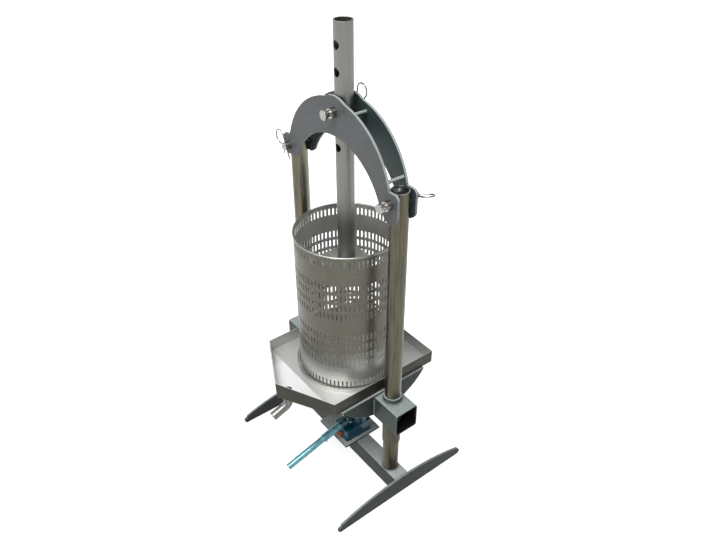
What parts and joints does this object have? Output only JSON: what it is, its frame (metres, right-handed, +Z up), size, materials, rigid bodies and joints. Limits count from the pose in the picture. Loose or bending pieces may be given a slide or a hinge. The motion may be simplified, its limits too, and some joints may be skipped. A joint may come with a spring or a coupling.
{
  "type": "hydraulic fruit press",
  "caption": "Floor-standing fruit press: a bottle jack lifts a crossbeam with drip tray and slotted basket along two posts against a fixed press plate hung from a pinned yoke",
  "frame": {"origin": "On the floor, at the middle of the base beam, on the axis of the press column", "axes": "+Z up; X along the base beam through the two posts; -Y is the operating side, where the spout and the pump handle point"},
  "size_m": [0.7, 0.6718, 1.74],
  "materials": {
    "frame_paint": "satin",
    "yoke_paint": "satin",
    "post_steel": "brushed",
    "column_steel": "satin",
    "pin_zinc": "bright",
    "spring_wire": "bright",
    "tray_steel": "satin",
    "basket_steel": "brushed",
    "jack_paint": "gloss",
    "jack_bright": "machined",
    "seal_rubber": "matt",
    "lever_paint": "gloss",
    "valve_paint": "gloss"
  },
  "bodies": {
    "frame": {"base_beam": "frame_paint", "foot_left": "frame_paint", "foot_right": "frame_paint", "jack_plate": "frame_paint", "post_left": "post_steel", "post_right": "post_steel", "yoke_front": "yoke_paint", "yoke_back": "yoke_paint", "yoke_spacers": "yoke_paint", "press_column": "column_steel", "press_plate": "column_steel", "jack_base": "jack_paint", "jack_reservoir": "jack_paint", "jack_cylinder": "jack_bright", "jack_top_nut": "jack_paint", "pump_cylinder": "jack_paint", "fulcrum_links": "jack_paint", "fulcrum_pin": "jack_bright"},
    "center_pin": {"pin_center": "pin_zinc"},
    "left_pin": {"pin_left": "pin_zinc"},
    "right_pin": {"pin_right": "pin_zinc"},
    "center_clip": {"clip_center": "spring_wire"},
    "left_clip": {"clip_left": "spring_wire"},
    "right_clip": {"clip_right": "spring_wire"},
    "carriage": {"crossbeam": "frame_paint", "guide_tubes": "frame_paint", "gusset_left": "frame_paint", "gusset_right": "frame_paint", "tray": "tray_steel", "spout_elbow": "tray_steel", "spout_pipe": "tray_steel", "basket_ring": "tray_steel"},
    "basket": {"basket_shell": "basket_steel", "basket_rim": "basket_steel"},
    "ram": {"jack_ram": "jack_bright", "ram_seal": "seal_rubber", "jack_saddle": "jack_bright"},
    "lever": {"lever_socket": "lever_paint", "socket_screw": "jack_bright"},
    "handle": {"pump_handle": "lever_paint"},
    "plunger": {"pump_plunger": "jack_bright", "plunger_seal": "seal_rubber", "plunger_pin": "jack_bright"},
    "valve": {"release_valve": "valve_paint"}
  },
  "joints": [
    {"name": "carriage_lift", "type": "slide", "parent": "frame", "child": "carriage", "axis": [0, 0, 1], "range_m": [0, 0.13]},
    {"name": "basket_lift", "type": "slide", "parent": "carriage", "child": "basket", "axis": [0, 0, 1], "range_m": [0, 0.1]},
    {"name": "ram_extend", "type": "slide", "parent": "frame", "child": "ram", "axis": [0, 0, 1], "range_m": [0, 0.14]},
    {"name": "pump_lever", "type": "hinge", "parent": "frame", "child": "lever", "pos_m": [0.04, -0.036, 0.1688], "axis": [1, 0, 0], "range_deg": [-45, 0]},
    {"name": "handle_pull", "type": "slide", "parent": "lever", "child": "handle", "axis": [0, -0.9659, -0.2588], "range_m": [0, 0.09]},
    {"name": "plunger_stroke", "type": "slide", "parent": "frame", "child": "plunger", "axis": [0, 0, 1], "range_m": [0, 0.0166]},
    {"name": "release_turn", "type": "hinge", "parent": "frame", "child": "valve", "pos_m": [0.04, -0.076, 0.11], "axis": [0, -1, 0], "range_deg": [0, 360]},
    {"name": "center_pin_turn", "type": "hinge", "parent": "frame", "child": "center_pin", "pos_m": [0, 0, 1.472], "axis": [0, 1, 0], "continuous": true},
    {"name": "left_pin_turn", "type": "hinge", "parent": "frame", "child": "left_pin", "pos_m": [-0.27, 0, 1.27], "axis": [0, 1, 0], "continuous": true},
    {"name": "right_pin_turn", "type": "hinge", "parent": "frame", "child": "right_pin", "pos_m": [0.27, 0, 1.27], "axis": [0, 1, 0], "continuous": true},
    {"name": "center_clip_pull", "type": "slide", "parent": "center_pin", "child": "center_clip", "axis": [0.6691, 0, 0.7431], "range_m": [0, 0.04]},
    {"name": "left_clip_pull", "type": "slide", "parent": "left_pin", "child": "left_clip", "axis": [-0.3746, 0, 0.9272], "range_m": [0, 0.04]},
    {"name": "right_clip_pull", "type": "slide", "parent": "right_pin", "child": "right_clip", "axis": [0.9613, 0, 0.2756], "range_m": [0, 0.04]}
  ],
  "couplings": [
    {"joint": "ram_extend", "follows": "carriage_lift", "ratio": 1},
    {"joint": "plunger_stroke", "follows": "pump_lever", "m_per_rad": -0.021}
  ]
}
